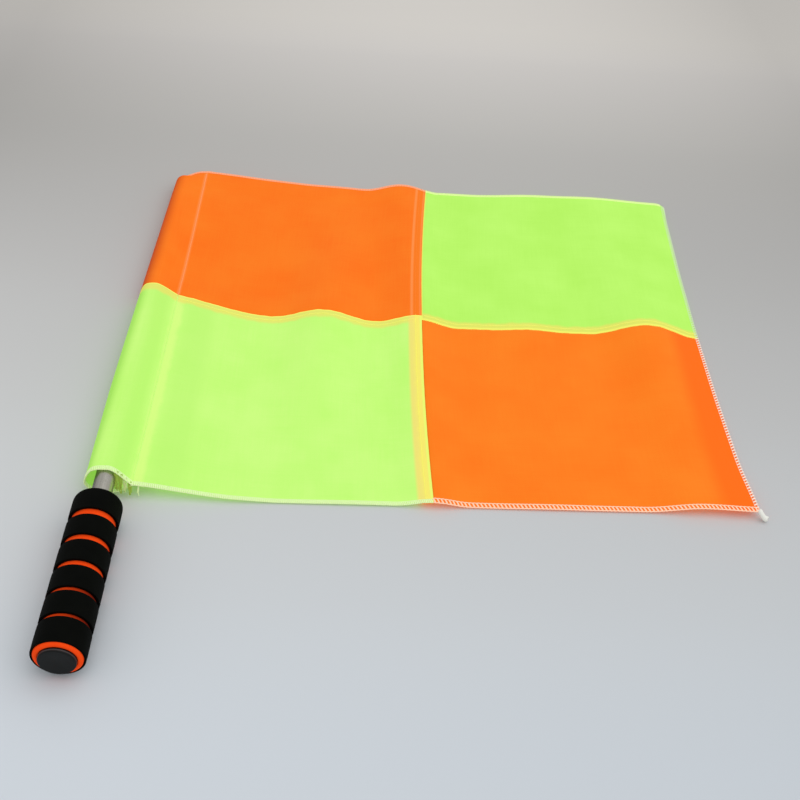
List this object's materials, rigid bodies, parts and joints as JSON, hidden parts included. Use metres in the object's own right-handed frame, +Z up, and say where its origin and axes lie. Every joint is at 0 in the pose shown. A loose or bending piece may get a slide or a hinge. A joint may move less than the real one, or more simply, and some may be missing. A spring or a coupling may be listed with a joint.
{
  "type": "linesman flag",
  "caption": "Linesman flag lying flat: a grooved foam grip on a thin steel tube, and a quartered orange and lime cloth drawn over the tube by its sleeve.",
  "frame": {"origin": "centre of the object's footprint, on the floor", "axes": "+Y runs from the grip's butt towards the pole's tip, +X from the pole towards the cloth's fly edge, +Z up"},
  "size_m": [0.4418, 0.516, 0.0322],
  "materials": {
    "black_foam": "matt closed-cell foam",
    "orange_foam": "matt closed-cell foam",
    "steel": "dull, streaked along its length",
    "black_plastic": "satin",
    "orange_cloth": "thin woven polyester with a faint sheen",
    "lime_cloth": "thin woven polyester with a faint sheen",
    "thread": "sewing thread"
  },
  "bodies": {
    "pole": {"butt_plug": "black_plastic", "grip_band_1": "black_foam", "grip_band_2": "black_foam", "grip_band_3": "black_foam", "grip_band_4": "black_foam", "grip_band_5": "black_foam", "grip_band_6": "black_foam", "grip_core": "orange_foam", "pole_tube": "steel"},
    "sleeve_slider": {"tip_cap": "black_plastic"},
    "hoist_half": {"overlock_far_hoist": "thread", "overlock_near_hoist": "thread", "panel_far_hoist": "orange_cloth", "panel_near_hoist": "lime_cloth", "stitch_centre_seam": "thread", "stitch_mid_hoist": "thread", "stitch_sleeve": "thread", "stitch_sleeve_end": "thread"},
    "fly_half": {"overlock_far_fly": "thread", "overlock_fly_edge": "thread", "overlock_near_fly": "thread", "panel_far_fly": "lime_cloth", "panel_near_fly": "orange_cloth", "stitch_mid_fly": "thread", "thread_tail": "thread"}
  },
  "joints": [
    {"name": "cloth_draw_off", "type": "slide", "parent": "pole", "child": "sleeve_slider", "axis": [0, 0.9998, -0.02], "range_m": [0, 0.38]},
    {"name": "cloth_swivel", "type": "hinge", "parent": "sleeve_slider", "child": "hoist_half", "pos_m": [-0.20595, -0.1258, 0.01462], "axis": [0, -0.9998, 0.02], "continuous": true},
    {"name": "cloth_fold", "type": "hinge", "parent": "hoist_half", "child": "fly_half", "pos_m": [0.00396, -0.1258, 0.00904], "axis": [0, -1, 0], "range_deg": [0, 150]}
  ]
}
